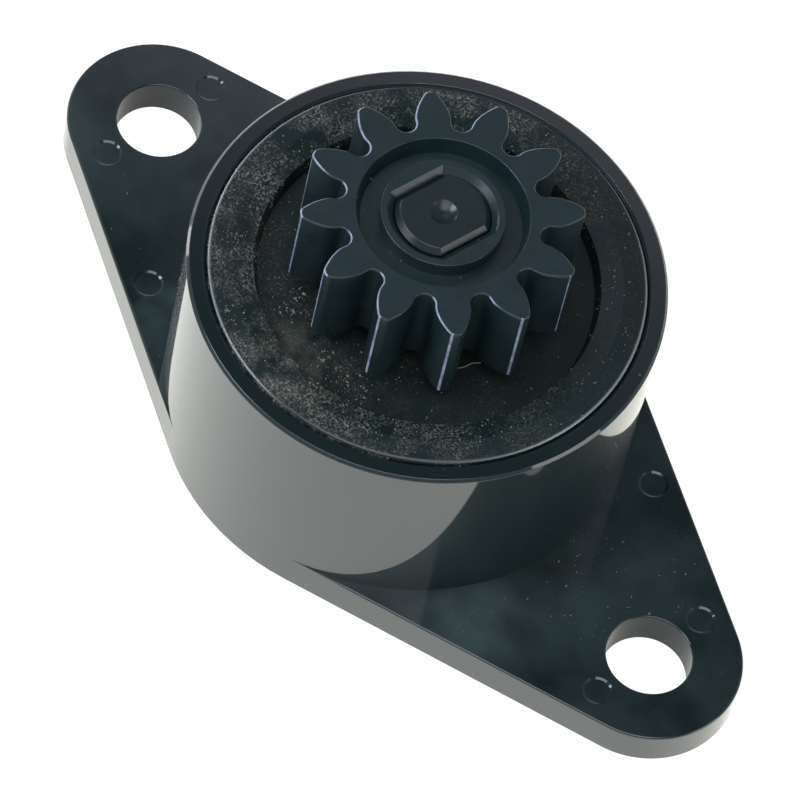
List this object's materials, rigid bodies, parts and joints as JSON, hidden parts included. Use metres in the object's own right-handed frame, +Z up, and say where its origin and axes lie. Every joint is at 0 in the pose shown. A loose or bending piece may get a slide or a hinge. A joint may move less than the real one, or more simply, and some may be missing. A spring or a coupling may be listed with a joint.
{
  "type": "rotary damper",
  "caption": "Gear-type viscous rotary damper: black moulded case with a two-eared screw flange, dished cap and a toothed pinion that turns slowly against thick fluid.",
  "frame": {"origin": "centre of the flange's underside, on the shaft's axis", "axes": "+Z up the shaft, +X from the axis to one of the fixing holes"},
  "size_m": [0.0498, 0.0248, 0.0188],
  "materials": {
    "case_plastic": "glossy moulded black",
    "cap_plastic": "fine texture, dusty",
    "seal_rubber": "matt black",
    "silicone_fluid": "clear and thick",
    "rotor_plastic": "satin",
    "pinion_plastic": "satin bluish black"
  },
  "bodies": {
    "housing": {"case": "case_plastic", "cap": "cap_plastic", "shaft_seal": "seal_rubber", "damping_fluid": "silicone_fluid"},
    "spindle": {"rotor": "rotor_plastic", "pinion": "pinion_plastic"}
  },
  "joints": [
    {"name": "spindle_turn", "type": "hinge", "parent": "housing", "child": "spindle", "pos_m": [0, 0, 0], "axis": [0, 0, 1], "continuous": true}
  ]
}
